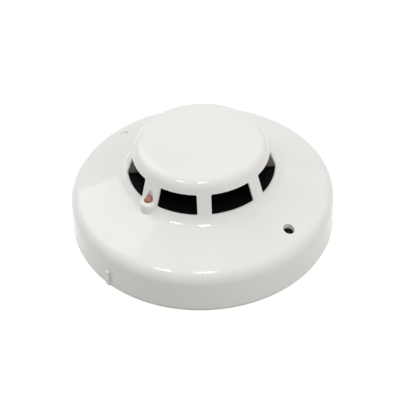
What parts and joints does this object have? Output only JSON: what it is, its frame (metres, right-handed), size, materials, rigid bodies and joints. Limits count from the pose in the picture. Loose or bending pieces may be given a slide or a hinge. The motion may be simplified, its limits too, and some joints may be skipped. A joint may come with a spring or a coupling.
{
  "type": "heat detector",
  "caption": "Round point heat detector: a windowed cap over a thermistor, an indicator at its foot, and a twist-lock mounting base with screw terminals.",
  "frame": {"origin": "centre of the cable entry on the flat back of the mounting base, which lies on the mounting surface", "axes": "+Z out of the mounting surface towards the cap, -Y towards the indicator, X through the two lock screws, +X towards the open tool hole"},
  "size_m": [0.1, 0.1006, 0.0366],
  "materials": {
    "cover_plastic": "glossy moulded ABS, warm white",
    "base_plastic": "satin moulded ABS, warm white",
    "chassis_plastic": "satin moulded ABS, warm white",
    "black_plastic": "matt black moulding",
    "screen_black": "matt black moulding with fine slots",
    "led_red": "diffused red epoxy lens",
    "thermistor_epoxy": "dark epoxy coating",
    "tinned_wire": "tinned wire",
    "contact_bronze": "spring bronze sheet",
    "clamp_steel": "zinc-plated steel",
    "screw_steel": "zinc-plated steel",
    "board_green": "glass-epoxy board with solder mask",
    "spacer_plastic": "natural nylon",
    "component_black": "moulded epoxy package",
    "capacitor_can": "drawn can",
    "varistor_blue": "blue epoxy dip",
    "ceramic_tan": "ceramic chip"
  },
  "bodies": {
    "base": {"mounting_base": "base_plastic", "base_contact_1": "contact_bronze", "base_contact_2": "contact_bronze", "base_contact_3": "contact_bronze", "base_contact_4": "contact_bronze"},
    "head": {"outer_cover": "cover_plastic", "indicator_led": "led_red", "screen_ring": "screen_black", "air_guide": "black_plastic", "thermistor_bead": "thermistor_epoxy", "thermistor_leads": "tinned_wire", "chassis": "chassis_plastic", "circuit_board": "board_green", "cover_screws": "screw_steel", "board_screws": "screw_steel", "head_contact_1": "contact_bronze", "head_contact_2": "contact_bronze", "head_contact_3": "contact_bronze", "head_contact_4": "contact_bronze", "led_spacer": "spacer_plastic", "led_leads": "tinned_wire", "microcontroller": "component_black", "bridge_rectifier": "component_black", "filter_capacitor": "capacitor_can", "surge_varistor": "varistor_blue", "reference_thermistor": "thermistor_epoxy", "resistors": "component_black", "ceramic_capacitors": "ceramic_tan", "transistors": "component_black"},
    "lock_1": {"lock_screw_1": "screw_steel"},
    "lock_2": {"lock_screw_2": "screw_steel"},
    "terminal_1": {"terminal_clamp_1": "clamp_steel", "terminal_screw_1": "screw_steel"},
    "terminal_2": {"terminal_clamp_2": "clamp_steel", "terminal_screw_2": "screw_steel"},
    "terminal_3": {"terminal_clamp_3": "clamp_steel", "terminal_screw_3": "screw_steel"},
    "terminal_4": {"terminal_clamp_4": "clamp_steel", "terminal_screw_4": "screw_steel"}
  },
  "joints": [
    {"name": "head_twist", "type": "hinge", "parent": "base", "child": "head", "pos_m": [0, 0, 0], "axis": [0, 0, 1], "range_deg": [0, 15]},
    {"name": "lock_screw_1_travel", "type": "slide", "parent": "head", "child": "lock_1", "axis": [0, 0, 1], "range_m": [-0.0025, 0]},
    {"name": "lock_screw_2_travel", "type": "slide", "parent": "head", "child": "lock_2", "axis": [0, 0, 1], "range_m": [-0.0025, 0]},
    {"name": "terminal_1_travel", "type": "slide", "parent": "base", "child": "terminal_1", "axis": [0, 0, 1], "range_m": [0, 0.0018]},
    {"name": "terminal_2_travel", "type": "slide", "parent": "base", "child": "terminal_2", "axis": [0, 0, 1], "range_m": [0, 0.0018]},
    {"name": "terminal_3_travel", "type": "slide", "parent": "base", "child": "terminal_3", "axis": [0, 0, 1], "range_m": [0, 0.0018]},
    {"name": "terminal_4_travel", "type": "slide", "parent": "base", "child": "terminal_4", "axis": [0, 0, 1], "range_m": [0, 0.0018]}
  ]
}
